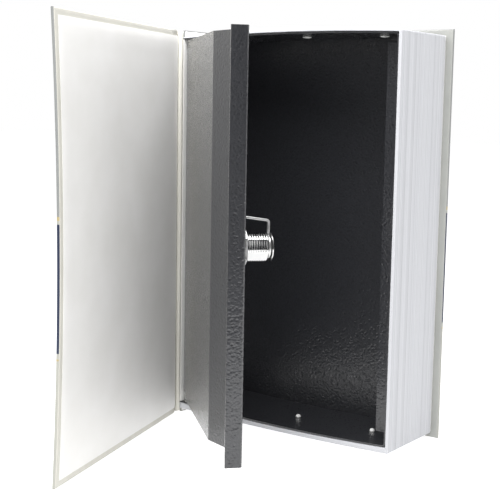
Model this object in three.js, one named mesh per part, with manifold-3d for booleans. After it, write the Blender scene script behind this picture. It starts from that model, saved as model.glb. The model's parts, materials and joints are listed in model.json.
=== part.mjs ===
// Book diversion safe, standing upright and open: a steel box with a keyed door, set in a
// false page block and bound between two hard covers.
// Millimetres, +Z up. X runs from the spine to the fore edge, Y from the front of the page
// block to its back, and Z up from the tail edges of the covers, on which the safe stands.

import * as THREE from 'three';
import Module from 'manifold-3d';
import { mergeVertices } from 'three/addons/utils/BufferGeometryUtils.js';

const wasm = await Module();
wasm.setup();

// Covers
const BOARD_HEIGHT = 240;
const BOARD = 1;                // thickness of the stiff board alone
const PAPER = 0.25;             // thickness of the printed wrap and of the endpapers
const GLUE_GAP = 0.25;          // between the layers of a cover
const SQUARE = 4.3;             // overhang of the covers beyond the fore edge
const TURN_IN = 14;             // margin of the wrap folded over the board
const TURN_IN_SHOWN = 3.6;      // part of that margin which the endpaper leaves bare
const JOINT_GUTTER = 6.5;       // from the hinge line of a cover to its stiff board
const WRAP_START = 3;           // from the hinge line to the flat part of the wrap
const ENDPAPER_START = 3.2;     // and to the endpaper
const FOLD_RADIUS = 1.4;        // rolled paper fold beside the hinge line of the front cover
const FOLD_OUT = 1.05;          // its middle, outside the spine face
const FOLD_AHEAD = 1.4;         // and ahead of the page block's front
const FOLD_SHORT = 1.5;         // the fold stops this far inside the covers' ends
const COVER_HINGE_OUT = 1.4;    // hinge line of the front cover, outside the spine face
const COVER_HINGE_AHEAD = 0.6;  // and ahead of the page block's front
const SPINE_BACK_FROM_HINGE = 3.6;

// Page block
const PAGE_WIDTH = 151;
const PAGE_DEPTH = 52.4;
const PAGE_WALL = 2.1;
const CROWN_AT = 80;            // place along the width where the head and tail walls bow out most

// At that crown: overhang of the covers and thickness of the wall; the bows are the rise of the
// wall's outer and inner face from the fore edge corner to the crown
const WALLS = {
  tail: { square: 1.5, wall: 2.6, bow: 1.1, innerBow: 1.9 },
  head: { square: 1, wall: 2.1, bow: 2.5, innerBow: 1.5 },
};
const PAGE_EDGE_ROUND = 1;
const PAGE_INNER_ROUND = 0.6;

// Steel box
const STEEL = 0.8;
const FIT = 0.3;                // clearance between separate pieces
const BOX_SETBACK = 0.6;        // front edge of the box behind the front of the page block
const BOX_CORNER = 2;           // bend radius at the fore edge
const LIP_SETBACK = 12;         // strike lip behind the front of the page block
const LIP_SHEET = 1;
const LIP_WIDTH = 11.6;
const LIP_LEG = 14;
const LIP_BEND = 2;
const LIP_SHORT = 3.7;          // the lip stops this far from the floor and the top

// Rivets that hold the box in the page block
const RIVET_COUNT = 3;
const RIVET_MARGIN = 23.5;      // from the spine face and the fore edge to the first and last
const RIVET_SETBACK = 23.4;
const RIVET_HEADS = {
  tail: { radius: 1.6, height: 1.6 },
  head: { radius: 2.8, height: 0.8 },
};
const RIVET_SHANK_RADIUS = 1.1;
const RIVET_BITE = 1.1;         // depth of the shank in the page wall

// Door, with lengths along it counted from its pin
const PIN_X = 4.94;
const PIN_SETBACK = 3.24;
const DOOR_SETBACK = 0.3;       // outer face of the closed door behind the page block's front
const DOOR_SHEET = 1;
const DOOR_GAP_FREE = 0.96;     // from the free edge of the closed door to the box
const DOOR_GAP_TAIL = 3.1;
const DOOR_GAP_HEAD = 0.8;
const HINGE_SIDE = 3.2;         // from the pin to the bent hinge side
const HINGE_FLANGE = 8;
const HINGE_BEND = 2;
const FLAT_FROM_EDGE = 49.9;    // outer flat up to here, then a slope, then the sunk flat of the lock
const SLOPE_FROM_EDGE = 31.1;
const RECESS = 8.3;
const CHANNEL_BEND = 1.4;
const NOTCH = 4;                // height of the notches at the hinge side
const NOTCH_WIDTH = 8;
const PIN_RADIUS = 1.2;
const PIN_PLAY = 0.2;
const PIN_FOOT_RADIUS = 3;
const PIN_FOOT = 1;
const PIN_END = 1.6;            // length of the pin beyond the door's ear
const BUSH_WALL = 1;

// Cam lock, with depths counted from the door's outer face
const LOCK_FROM_EDGE = 21.6;    // from the free edge to the lock's axis
const LOCK_HEIGHT = 121.6;
const LOCK_RADIUS = 7.7;
const LOCK_FLATS = 12.3;
const LOCK_FLAT_TILT = 48;      // degrees of the flats below the free edge's side
const LOCK_REAR = 24.5;
const LOCK_HEAD_RADIUS = 8.5;
const LOCK_HEAD = 2.2;
const LOCK_HEAD_BEVEL = 0.7;
const WASHER = 0.8;
const WASHER_RADIUS = 9.8;
const NUT = 2.4;
const NUT_RADIUS = 11.1;        // to the corners
const NUT_SIDES = 6;
const NUT_CHAMFER = 0.6;
const PLUG_RADIUS = 4.5;
const PLUG_PLAY = 0.3;
const KEYWAY_WIDTH = 1.8;
const KEYWAY_HEIGHT = 6.4;
const KEYWAY_DEPTH = 12;
const CAM = 1.2;
const CAM_WIDTH = 2.4;
const CAM_REACH = 14.4;         // from the lock's axis to the outer face at the bend
const CAM_SPLAY = 1.8;          // how much further out the tip of the hook lies
const CAM_HUB_RADIUS = 6;
const CAM_BEND = 1.7;
const HOOK_CLEARANCE = 0.5;     // between the locked hook and the back of the strike lip
const TENON = 5;                // square end of the plug that drives the cam
const STUD_RADIUS = 1.8;
const CAP_RADIUS = 7.5;
const CAP = 0.8;
const CAP_BEVEL = 0.35;
const CAP_FLOOR = 0.3;

// How far the door and the front cover stand open, in degrees from shut
const DOOR_OPEN = 42.3;
const COVER_OPEN = 72.2;

// Roundness of curves, and the length by which a cut runs past the piece
const ROUND_STEPS = 40;
const SMALL_ROUND_STEPS = 24;
const CORNER_STEPS = 5;
const BOW_STEPS = 16;
const OVERRUN = 1;

// Sizes that follow from those above
const coverFreeX = PAGE_WIDTH + SQUARE;
const spineThickness = BOARD + PAPER + 2 * GLUE_GAP;
const hingeX = -COVER_HINGE_OUT;
const hingeY = -COVER_HINGE_AHEAD;
const boxBack = PAGE_DEPTH - FIT;
const foreInner = PAGE_WIDTH - PAGE_WALL - FIT - STEEL;
const doorReach = foreInner - PIN_X - DOOR_GAP_FREE;
const lockAt = doorReach - LOCK_FROM_EDGE;
const doorLow = boxFloor('tail', PIN_X + doorReach) + DOOR_GAP_TAIL;
const doorHigh = BOARD_HEIGHT - boxFloor('head', PIN_X + doorReach) - DOOR_GAP_HEAD;
const doorFace = DOOR_SETBACK - PIN_SETBACK;
const recessInner = RECESS + DOOR_SHEET;
const camFront = LOCK_REAR + FIT;
const camBack = camFront + CAM;
const hookTip = LIP_SETBACK + LIP_SHEET + HOOK_CLEARANCE - DOOR_SETBACK;

const radians = THREE.MathUtils.degToRad;

// Finishes
const finishes = {
  steelPaint: { color: 0x3b3c40, roughness: 0.35, metalness: 0.3 },
  pagePlastic: { color: 0xeceaf0, roughness: 0.6, metalness: 0 },
  wrap: { color: 0xd9d9d2, roughness: 0.4, metalness: 0 },
  endpaper: { color: 0xf4f3f0, roughness: 0.45, metalness: 0 },
  board: { color: 0xb9b3a4, roughness: 0.9, metalness: 0 },
  chrome: { color: 0xd8dadd, roughness: 0.12, metalness: 1 },
  pin: { color: 0x9a9ca0, roughness: 0.3, metalness: 1 },
  rivet: { color: 0xf6f6f4, roughness: 0.5, metalness: 0 },
};

function named(name, finish, geometry) {
  const mesh = new THREE.Mesh(geometry, new THREE.MeshStandardMaterial(finishes[finish]));
  mesh.name = name;
  return mesh;
}

// Booleans
function toManifold(geometry) {
  const bare = geometry.clone();
  bare.deleteAttribute('normal');
  bare.deleteAttribute('uv');
  const merged = mergeVertices(bare);
  return new wasm.Manifold(new wasm.Mesh({
    numProp: 3,
    vertProperties: new Float32Array(merged.attributes.position.array),
    triVerts: new Uint32Array(merged.index.array),
  }));
}

function toGeometry(solid) {
  const mesh = solid.getMesh();
  const geometry = new THREE.BufferGeometry();
  geometry.setAttribute('position', new THREE.BufferAttribute(mesh.vertProperties, 3));
  geometry.setIndex(new THREE.BufferAttribute(mesh.triVerts, 1));
  return geometry;
}

function cut(geometry, ...tools) {
  return toGeometry(tools.reduce((solid, tool) => solid.subtract(toManifold(tool)), toManifold(geometry)));
}

function join(geometry, ...others) {
  return toGeometry(others.reduce((solid, other) => solid.add(toManifold(other)), toManifold(geometry)));
}

function common(geometry, other) {
  return toGeometry(toManifold(geometry).intersect(toManifold(other)));
}

// Shapes
function block([x0, x1], [y0, y1], [z0, z1]) {
  const geometry = new THREE.BoxGeometry(x1 - x0, y1 - y0, z1 - z0);
  return geometry.translate((x0 + x1) / 2, (y0 + y1) / 2, (z0 + z1) / 2);
}

function prismAlongZ(points, z0, z1) {
  const shape = new THREE.Shape(points);
  const geometry = new THREE.ExtrudeGeometry(shape, { depth: z1 - z0, bevelEnabled: false });
  return geometry.translate(0, 0, z0);
}

// The outline lies in X and Z, and the prism runs along Y
function prismAlongY(points, y0, y1) {
  const geometry = prismAlongZ(points, -y1, -y0);
  return geometry.rotateX(Math.PI / 2);
}

function latheAlongZ(profile, steps) {
  const geometry = new THREE.LatheGeometry(profile.map(([r, z]) => new THREE.Vector2(r, z)), steps);
  return geometry.rotateX(Math.PI / 2);
}

// Profile depths run along Y, into the safe
function latheAlongY(profile, steps) {
  return new THREE.LatheGeometry(profile.map(([r, y]) => new THREE.Vector2(r, y)), steps);
}

function rodAlongZ(radius, x, y, z0, z1) {
  const geometry = new THREE.CylinderGeometry(radius, radius, z1 - z0, SMALL_ROUND_STEPS);
  return geometry.rotateX(Math.PI / 2).translate(x, y, (z0 + z1) / 2);
}

function rodAlongY(radius, y0, y1, steps) {
  const geometry = new THREE.CylinderGeometry(radius, radius, y1 - y0, steps);
  return geometry.translate(0, (y0 + y1) / 2, 0);
}

function arc(x, y, radius, from, to, steps) {
  return Array.from({ length: steps + 1 }, (_, i) => {
    const angle = radians(from + (to - from) * i / steps);
    return new THREE.Vector2(x + radius * Math.cos(angle), y + radius * Math.sin(angle));
  });
}

// Replaces each inner corner of a path by an arc of the given radius
function rounded(path, radii) {
  const points = [path[0]];
  for (let i = 1; i < path.length - 1; i += 1) {
    const before = path[i - 1].clone().sub(path[i]).normalize();
    const after = path[i + 1].clone().sub(path[i]).normalize();
    const half = before.angleTo(after) / 2;
    const back = radii[i - 1] / Math.tan(half);
    const centre = before.clone().add(after).normalize();
    centre.multiplyScalar(radii[i - 1] / Math.sin(half)).add(path[i]);
    const start = before.clone().multiplyScalar(back).add(path[i]).sub(centre);
    const end = after.clone().multiplyScalar(back).add(path[i]).sub(centre);
    const turn = Math.atan2(start.cross(end), start.dot(end));
    for (let k = 0; k <= CORNER_STEPS; k += 1) {
      const point = start.clone().rotateAround(new THREE.Vector2(), turn * k / CORNER_STEPS);
      points.push(point.add(centre));
    }
  }
  return [...points, path[path.length - 1]];
}

// Closed outline of a sheet: the path is one face, and the other lies to the left of it
function sheet(path, thickness) {
  const left = (a, b) => new THREE.Vector2(a.y - b.y, b.x - a.x).normalize();
  const other = path.map((point, i) => {
    const first = left(path[Math.max(i - 1, 0)], path[Math.max(i, 1)]);
    const last = left(path[Math.min(i, path.length - 2)], path[Math.min(i + 1, path.length - 1)]);
    const mitre = first.clone().add(last);
    return mitre.multiplyScalar(thickness / (1 + first.dot(last))).add(point);
  });
  return [...path, ...other.reverse()];
}

// Share of a wall's bow that is lost at a place along the width: none at the crown, all at
// the fore edge corner
function offCrown(x) {
  return ((x - CROWN_AT) / (PAGE_WIDTH - CROWN_AT)) ** 2;
}

// Distances from the covers' edge, at the tail or head end, to the outer and inner faces of the
// wall and of the box
function pageEdge(end, x) {
  return WALLS[end].square + WALLS[end].bow * offCrown(x);
}

function pageFloor(end, x) {
  return WALLS[end].square + WALLS[end].wall + WALLS[end].innerBow * offCrown(x);
}

function boxEdge(end, x) {
  return pageFloor(end, x) + FIT;
}

function boxFloor(end, x) {
  return boxEdge(end, x) + STEEL;
}

// Outline, in X and Z, with the given line at the tail and at the head
function pageOutline(line, left, right, radius) {
  const side = (end) => {
    const points = Array.from({ length: BOW_STEPS + 1 }, (_, i) => {
      const x = left + (right - radius - left) * i / BOW_STEPS;
      return new THREE.Vector2(x, line(end, x));
    });
    const turn = points.pop();
    return [...points, ...arc(turn.x, turn.y + radius, radius, -90, 0, CORNER_STEPS)];
  };
  const head = side('head').map((point) => new THREE.Vector2(point.x, BOARD_HEIGHT - point.y));
  return [...side('tail'), ...head.reverse()];
}

function toHead(geometry) {
  return geometry.rotateX(Math.PI).translate(0, 0, BOARD_HEIGHT);
}

// Places a piece that was made upright on the tail, about its own axis, at either end
function onWall(geometry, x, y, end) {
  const placed = end === 'head' ? toHead(geometry) : geometry;
  return placed.translate(x, y, 0);
}

function hole(radius, x, y, low, high, end) {
  return onWall(rodAlongZ(radius, 0, 0, low, high), x, y, end);
}

function rivetPlaces() {
  const pitch = (PAGE_WIDTH - 2 * RIVET_MARGIN) / (RIVET_COUNT - 1);
  const row = Array.from({ length: RIVET_COUNT }, (_, i) => PAGE_WIDTH - RIVET_MARGIN - i * pitch);
  return ['tail', 'head'].flatMap((end) => row.map((x, i) => ({ end, x, number: i + 1 })));
}

function pageSurround() {
  const whole = prismAlongY(pageOutline(pageEdge, 0, PAGE_WIDTH, PAGE_EDGE_ROUND), 0, PAGE_DEPTH);
  const inner = pageOutline(pageFloor, -OVERRUN, PAGE_WIDTH - PAGE_WALL, PAGE_INNER_ROUND);
  const hollow = prismAlongY(inner, -OVERRUN, PAGE_DEPTH + OVERRUN);
  const pockets = rivetPlaces().map(({ end, x }) => {
    const floor = pageFloor(end, x);
    const bottom = floor - RIVET_BITE - PIN_PLAY;
    return hole(RIVET_SHANK_RADIUS + PIN_PLAY, x, RIVET_SETBACK, bottom, floor + OVERRUN, end);
  });
  return cut(whole, hollow, ...pockets);
}

function steelBox() {
  const outer = pageOutline(boxEdge, 0, foreInner + STEEL, BOX_CORNER);
  const inner = pageOutline(boxFloor, STEEL, foreInner, BOX_CORNER - STEEL);
  const hollow = prismAlongY(inner, -OVERRUN, boxBack - STEEL);
  const through = (radius, x, y, end) => (
    hole(radius, x, y, boxEdge(end, x) - OVERRUN, boxFloor(end, x) + OVERRUN, end));
  const rivetHole = RIVET_SHANK_RADIUS + PIN_PLAY;
  const rivetHoles = rivetPlaces().map(({ end, x }) => through(rivetHole, x, RIVET_SETBACK, end));
  const pinHole = PIN_RADIUS + PIN_PLAY;
  const pinHoles = ['tail', 'head'].map((end) => through(pinHole, PIN_X, PIN_SETBACK, end));
  return cut(prismAlongY(outer, BOX_SETBACK, boxBack), hollow, ...rivetHoles, ...pinHoles);
}

// Angle on the fore edge wall; the locked cam hooks behind its front leg
function strikeLip() {
  const wallFace = foreInner - FIT;
  const path = [
    new THREE.Vector2(wallFace - LIP_WIDTH, LIP_SETBACK),
    new THREE.Vector2(wallFace, LIP_SETBACK),
    new THREE.Vector2(wallFace, LIP_SETBACK + LIP_LEG),
  ];
  const low = boxFloor('tail', wallFace) + LIP_SHORT;
  const high = BOARD_HEIGHT - boxFloor('head', wallFace) - LIP_SHORT;
  return prismAlongZ(sheet(rounded(path, [LIP_BEND]), LIP_SHEET), low, high);
}

function rivet({ end, x }) {
  const { radius, height } = RIVET_HEADS[end];
  const seat = boxFloor(end, x) + FIT;
  const tip = pageFloor(end, x) - RIVET_BITE;
  const quarter = arc(0, 0, 1, 0, 90, CORNER_STEPS).slice(0, -1);
  const dome = quarter.map((point) => [point.x * radius, seat + point.y * height]);
  const profile = [[0, tip], [RIVET_SHANK_RADIUS, tip], [RIVET_SHANK_RADIUS, seat], ...dome,
    [0, seat + height]];
  return onWall(latheAlongZ(profile, SMALL_ROUND_STEPS), x, RIVET_SETBACK, end);
}

// The pins differ in length because the door hangs nearer to the head
function earFace(end) {
  return end === 'head' ? BOARD_HEIGHT - doorHigh + NOTCH : doorLow + NOTCH;
}

function hingePin(end) {
  const floor = boxFloor(end, PIN_X);
  const foot = floor + FIT;
  const top = earFace(end) + DOOR_SHEET + PIN_END;
  const tip = floor - STEEL;
  const neck = foot + PIN_FOOT;
  const profile = [[0, tip], [PIN_RADIUS, tip], [PIN_RADIUS, foot], [PIN_FOOT_RADIUS, foot],
    [PIN_FOOT_RADIUS, neck], [PIN_RADIUS, neck], [PIN_RADIUS, top], [0, top]];
  return onWall(latheAlongZ(profile, SMALL_ROUND_STEPS), PIN_X, PIN_SETBACK, end);
}

function hingeBush(end) {
  const low = boxFloor(end, PIN_X) + FIT + PIN_FOOT + PIN_PLAY;
  const high = earFace(end) - FIT;
  const bore = PIN_RADIUS + PIN_PLAY;
  const outer = bore + BUSH_WALL;
  const profile = [[bore, low], [outer, low], [outer, high], [bore, high], [bore, low]];
  return onWall(latheAlongZ(profile, SMALL_ROUND_STEPS), PIN_X, PIN_SETBACK, end);
}

// One cover: a stiff board, the wrap turned over its edges, and the endpaper pasted inside.
// The inner face lies at y = 0 and the layers follow outwards, towards -Y.
function coverLayers(free) {
  const depth = (layers, papers, boards) => -(papers * PAPER + layers * GLUE_GAP + boards * BOARD);
  const edge = PAPER + GLUE_GAP;
  const board = block([JOINT_GUTTER, free - edge], [depth(2, 2, 1), depth(2, 2, 0)],
    [edge, BOARD_HEIGHT - edge]);
  const endpaper = block([ENDPAPER_START, free - TURN_IN_SHOWN], [depth(0, 1, 0), 0],
    [TURN_IN_SHOWN, BOARD_HEIGHT - TURN_IN_SHOWN]);
  const whole = block([WRAP_START, free], [depth(3, 3, 1), depth(1, 1, 0)], [0, BOARD_HEIGHT]);
  const pocket = block([WRAP_START - OVERRUN, free - PAPER], [depth(3, 2, 1), depth(1, 2, 0)],
    [PAPER, BOARD_HEIGHT - PAPER]);
  const window = block([WRAP_START - OVERRUN, free - TURN_IN], [depth(2, 2, 0), OVERRUN],
    [TURN_IN, BOARD_HEIGHT - TURN_IN]);
  return { board, endpaper, wrap: cut(whole, pocket, window) };
}

// The back cover is the front cover turned over about the height of the book
function backward(geometry) {
  const flipped = geometry.rotateX(Math.PI);
  return flipped.translate(-COVER_HINGE_OUT, PAGE_DEPTH + FIT, BOARD_HEIGHT);
}

function spineWrap() {
  const front = hingeY + SPINE_BACK_FROM_HINGE;
  const back = PAGE_DEPTH + FIT;
  const outer = -spineThickness;
  const whole = block([outer, -GLUE_GAP], [front - GLUE_GAP - PAPER, back], [0, BOARD_HEIGHT]);
  const pocket = block([outer + PAPER, OVERRUN], [front - GLUE_GAP, back + OVERRUN],
    [PAPER, BOARD_HEIGHT - PAPER]);
  return cut(whole, pocket);
}

function spineBoard() {
  const front = hingeY + SPINE_BACK_FROM_HINGE;
  const edge = PAPER + GLUE_GAP;
  return block([-GLUE_GAP - BOARD, -GLUE_GAP], [front, PAGE_DEPTH], [edge, BOARD_HEIGHT - edge]);
}

// Double-D bar of the lock, also used wider to cut the hole that it passes through
function lockBar(grow, y0, y1) {
  const round = rodAlongY(LOCK_RADIUS + grow, y0, y1, ROUND_STEPS);
  const half = LOCK_FLATS / 2 + grow;
  const reach = LOCK_RADIUS + grow + OVERRUN;
  const slab = block([-half, half], [y0 - OVERRUN, y1 + OVERRUN], [-reach, reach]);
  return common(round, slab.rotateY(radians(LOCK_FLAT_TILT)));
}

// Door sheet: hinge side, outer flat, slope, sunk flat for the lock, and free edge
function doorPanel() {
  const path = [
    new THREE.Vector2(-HINGE_SIDE, HINGE_FLANGE),
    new THREE.Vector2(-HINGE_SIDE, 0),
    new THREE.Vector2(doorReach - FLAT_FROM_EDGE, 0),
    new THREE.Vector2(doorReach - SLOPE_FROM_EDGE, RECESS),
    new THREE.Vector2(doorReach - DOOR_SHEET, RECESS),
    new THREE.Vector2(doorReach - DOOR_SHEET, 0),
  ];
  const bends = [HINGE_BEND, HINGE_BEND, CHANNEL_BEND, CHANNEL_BEND / 2];
  const leaf = prismAlongZ(sheet(rounded(path, bends), DOOR_SHEET), doorLow, doorHigh);
  const side = [-HINGE_SIDE - OVERRUN, NOTCH_WIDTH];
  const depth = [-OVERRUN, HINGE_FLANGE + OVERRUN];
  const notches = [
    block(side, depth, [doorLow - OVERRUN, doorLow + NOTCH]),
    block(side, depth, [doorHigh - NOTCH, doorHigh + OVERRUN]),
  ];
  const ear = (z) => block([DOOR_SHEET / 2 - HINGE_SIDE, NOTCH_WIDTH], [DOOR_SHEET / 2, HINGE_FLANGE],
    [z, z + DOOR_SHEET]);
  const pinHole = rodAlongZ(PIN_RADIUS + PIN_PLAY, 0, -doorFace, doorLow, doorHigh);
  const lockHole = lockBar(FIT, RECESS - OVERRUN, recessInner + OVERRUN).translate(lockAt, 0, LOCK_HEIGHT);
  const ears = [ear(doorLow + NOTCH), ear(doorHigh - NOTCH - DOOR_SHEET)];
  return cut(join(cut(leaf, ...notches), ...ears), pinHole, lockHole);
}

// Lock parts lie on their own axis, with depths along Y from the door's outer face
function lockHousing() {
  const back = RECESS - FIT;
  const front = back - LOCK_HEAD;
  const head = latheAlongY([[0, front], [LOCK_HEAD_RADIUS - LOCK_HEAD_BEVEL, front],
    [LOCK_HEAD_RADIUS, front + LOCK_HEAD_BEVEL], [LOCK_HEAD_RADIUS, back], [0, back]], ROUND_STEPS);
  const bore = rodAlongY(PLUG_RADIUS + PLUG_PLAY, front - OVERRUN, LOCK_REAR + OVERRUN, ROUND_STEPS);
  return cut(join(head, lockBar(0, back - LOCK_HEAD / 2, LOCK_REAR)), bore);
}

function lockWasher() {
  const front = recessInner + FIT;
  const bore = LOCK_RADIUS + FIT;
  return latheAlongY([[bore, front], [WASHER_RADIUS, front], [WASHER_RADIUS, front + WASHER],
    [bore, front + WASHER], [bore, front]], ROUND_STEPS);
}

function lockNut() {
  const front = recessInner + WASHER + 2 * FIT;
  const back = recessInner + WASHER + NUT + FIT;
  const hexagon = new THREE.CylinderGeometry(NUT_RADIUS, NUT_RADIUS, back - front, NUT_SIDES);
  const turned = latheAlongY([[0, front], [NUT_RADIUS, front], [NUT_RADIUS, back - NUT_CHAMFER],
    [NUT_RADIUS - NUT_CHAMFER, back], [0, back]], ROUND_STEPS);
  const bore = rodAlongY(LOCK_RADIUS + FIT, front - OVERRUN, back + OVERRUN, ROUND_STEPS);
  return cut(common(hexagon.translate(0, (front + back) / 2, 0), turned), bore);
}

function keyPlug() {
  const front = RECESS - LOCK_HEAD;
  const shoulder = LOCK_REAR;
  const tenon = block([-TENON / 2, TENON / 2], [shoulder - OVERRUN, camBack], [-TENON / 2, TENON / 2]);
  const stud = rodAlongY(STUD_RADIUS, camBack - OVERRUN, camBack + CAP - CAP_FLOOR, SMALL_ROUND_STEPS);
  const keyway = block([-KEYWAY_WIDTH / 2, KEYWAY_WIDTH / 2], [front - OVERRUN, front + KEYWAY_DEPTH],
    [-KEYWAY_HEIGHT / 2, KEYWAY_HEIGHT / 2]);
  return cut(join(rodAlongY(PLUG_RADIUS, front, shoulder, ROUND_STEPS), tenon, stud), keyway);
}

// Narrow hooked cam: up from the axis, then back towards the door
function lockCam() {
  const path = [
    new THREE.Vector2(hookTip, CAM_REACH + CAM_SPLAY),
    new THREE.Vector2(camBack, CAM_REACH),
    new THREE.Vector2(camBack, 0),
  ];
  const hook = prismAlongZ(sheet(rounded(path, [CAM_BEND]).reverse(), CAM), -CAM_WIDTH / 2, CAM_WIDTH / 2);
  hook.applyMatrix4(new THREE.Matrix4().makeBasis(
    new THREE.Vector3(0, 1, 0), new THREE.Vector3(0, 0, 1), new THREE.Vector3(1, 0, 0)));
  const hub = rodAlongY(CAM_HUB_RADIUS, camFront, camBack, ROUND_STEPS);
  const half = TENON / 2 + PIN_PLAY;
  const hole = block([-half, half], [camFront - OVERRUN, camBack + OVERRUN], [-half, half]);
  return cut(join(hub, hook), hole);
}

function camNut() {
  const front = camBack + FIT;
  const back = front + CAP;
  const bore = STUD_RADIUS + PIN_PLAY;
  return latheAlongY([[0, back - CAP_FLOOR], [bore, back - CAP_FLOOR], [bore, front], [CAP_RADIUS, front],
    [CAP_RADIUS, back - CAP_BEVEL], [CAP_RADIUS - CAP_BEVEL, back], [0, back]], ROUND_STEPS);
}

// Everything that stays with the page block
function fixedPieces() {
  const back = coverLayers(coverFreeX + COVER_HINGE_OUT);
  const rivets = rivetPlaces().map((place) => (
    named(`page_rivet_${place.end}_${place.number}`, 'rivet', rivet(place))));
  return [
    named('page_surround', 'pagePlastic', pageSurround()),
    named('steel_box', 'steelPaint', steelBox()),
    named('strike_lip', 'steelPaint', strikeLip()),
    ...rivets,
    named('hinge_pin_tail', 'pin', hingePin('tail')),
    named('hinge_pin_head', 'pin', hingePin('head')),
    named('hinge_bush_tail', 'pin', hingeBush('tail')),
    named('hinge_bush_head', 'pin', hingeBush('head')),
    named('spine_board', 'board', spineBoard()),
    named('spine_wrap', 'wrap', spineWrap()),
    named('back_board', 'board', backward(back.board)),
    named('back_wrap', 'wrap', backward(back.wrap)),
    named('back_endpaper', 'endpaper', backward(back.endpaper)),
  ];
}

// The plug, the cam and its nut turn together in the lock
function lockGroup() {
  const lock = new THREE.Group();
  lock.add(
    named('lock_housing', 'chrome', lockHousing()),
    named('lock_washer', 'chrome', lockWasher()),
    named('lock_nut', 'chrome', lockNut()),
    named('key_plug', 'chrome', keyPlug()),
    named('lock_cam', 'chrome', lockCam()),
    named('cam_nut', 'chrome', camNut()),
  );
  lock.position.set(lockAt, 0, LOCK_HEIGHT);
  return lock;
}

// The leaf lies behind its pin by the depth of its outer face
function doorGroup() {
  const leaf = new THREE.Group();
  leaf.add(named('door_panel', 'steelPaint', doorPanel()), lockGroup());
  leaf.position.y = doorFace;
  const door = new THREE.Group();
  door.add(leaf);
  door.position.set(PIN_X, PIN_SETBACK, 0);
  door.rotation.z = -radians(DOOR_OPEN);
  return door;
}

function frontCoverGroup() {
  const layers = coverLayers(coverFreeX + COVER_HINGE_OUT);
  const cover = new THREE.Group();
  cover.add(
    named('front_board', 'board', layers.board),
    named('front_wrap', 'wrap', layers.wrap),
    named('front_endpaper', 'endpaper', layers.endpaper),
  );
  cover.position.set(hingeX, hingeY, 0);
  cover.rotation.z = -radians(COVER_OPEN);
  return cover;
}

function coverFold() {
  const fold = rodAlongZ(FOLD_RADIUS, 0, 0, FOLD_SHORT, BOARD_HEIGHT - FOLD_SHORT);
  return named('cover_fold', 'wrap', fold.translate(-FOLD_OUT, -FOLD_AHEAD, 0));
}

const safe = new THREE.Group();
safe.add(...fixedPieces(), doorGroup(), coverFold(), frontCoverGroup());

// The origin is the middle of the box round the open safe, on the surface that it stands on
const bounds = new THREE.Box3().setFromObject(safe, true);
const middle = bounds.getCenter(new THREE.Vector3());
safe.position.set(-middle.x, -middle.y, -bounds.min.z);

export default safe;
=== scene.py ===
# Looks of the book diversion safe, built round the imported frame. Metres, +Z up.
import json
import math
import random

import bmesh
import bpy
from mathutils import Matrix, Vector


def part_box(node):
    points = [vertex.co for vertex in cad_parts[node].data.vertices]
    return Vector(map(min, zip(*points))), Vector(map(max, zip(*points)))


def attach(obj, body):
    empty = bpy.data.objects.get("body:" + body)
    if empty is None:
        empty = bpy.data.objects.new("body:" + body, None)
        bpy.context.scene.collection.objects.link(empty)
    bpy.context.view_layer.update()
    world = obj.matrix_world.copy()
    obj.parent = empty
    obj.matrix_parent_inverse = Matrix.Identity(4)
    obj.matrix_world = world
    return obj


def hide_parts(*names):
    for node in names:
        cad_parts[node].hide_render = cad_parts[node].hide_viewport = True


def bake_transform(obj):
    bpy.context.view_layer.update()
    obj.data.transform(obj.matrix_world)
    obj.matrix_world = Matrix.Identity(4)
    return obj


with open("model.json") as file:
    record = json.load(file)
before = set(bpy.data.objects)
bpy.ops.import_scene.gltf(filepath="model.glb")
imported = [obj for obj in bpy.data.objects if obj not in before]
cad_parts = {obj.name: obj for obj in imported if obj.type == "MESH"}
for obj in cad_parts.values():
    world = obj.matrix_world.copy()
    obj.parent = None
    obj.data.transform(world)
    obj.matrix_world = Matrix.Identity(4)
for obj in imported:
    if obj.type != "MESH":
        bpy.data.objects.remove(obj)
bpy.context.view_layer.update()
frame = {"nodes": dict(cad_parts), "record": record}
nodes = frame["nodes"]
joints = {joint["name"]: joint for joint in frame["record"]["behaviour"]["joints"]}
random.seed(7)

MM = 0.001


# Places from the frame
def low(node):
    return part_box(node)[0]


def high(node):
    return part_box(node)[1]


COVER_AXIS = Vector(joints["cover_hinge"]["pos_m"])
LOCK = Vector(joints["lock_turn"]["pos_m"])
DOOR_OPEN = -math.radians(joints["door_hinge"]["range_deg"][0])
COVER_OPEN = -math.radians(joints["cover_hinge"]["range_deg"][0])
HEIGHT = high("back_wrap").z
PAGE_LEFT = low("page_surround").x
PAGE_RIGHT = high("page_surround").x
PAGE_FRONT = low("page_surround").y
PAGE_BACK = high("page_surround").y

# Frames whose X runs along the opened leaf and whose Y runs into the safe from its face
COVER = Matrix.Translation((COVER_AXIS.x, COVER_AXIS.y, 0)) @ Matrix.Rotation(-COVER_OPEN, 4, "Z")
LOCK_FRAME = Matrix.Translation(LOCK) @ Matrix.Rotation(-DOOR_OPEN, 4, "Z")


# Materials
def new_material(name):
    material = bpy.data.materials.new(name)
    material.use_nodes = True
    tree = material.node_tree
    bsdf = tree.nodes["Principled BSDF"]
    return material, tree, bsdf


def srgb(r, g, b):
    def one(c):
        c /= 255
        return c / 12.92 if c <= 0.04045 else ((c + 0.055) / 1.055) ** 2.4
    return (one(r), one(g), one(b), 1)


def object_coords(tree, scale=(1, 1, 1)):
    coords = tree.nodes.new("ShaderNodeTexCoord")
    mapping = tree.nodes.new("ShaderNodeMapping")
    mapping.inputs["Scale"].default_value = scale
    tree.links.new(coords.outputs["Object"], mapping.inputs["Vector"])
    return mapping.outputs["Vector"]


NOISE_ROUGHNESS = 0.55


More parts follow.
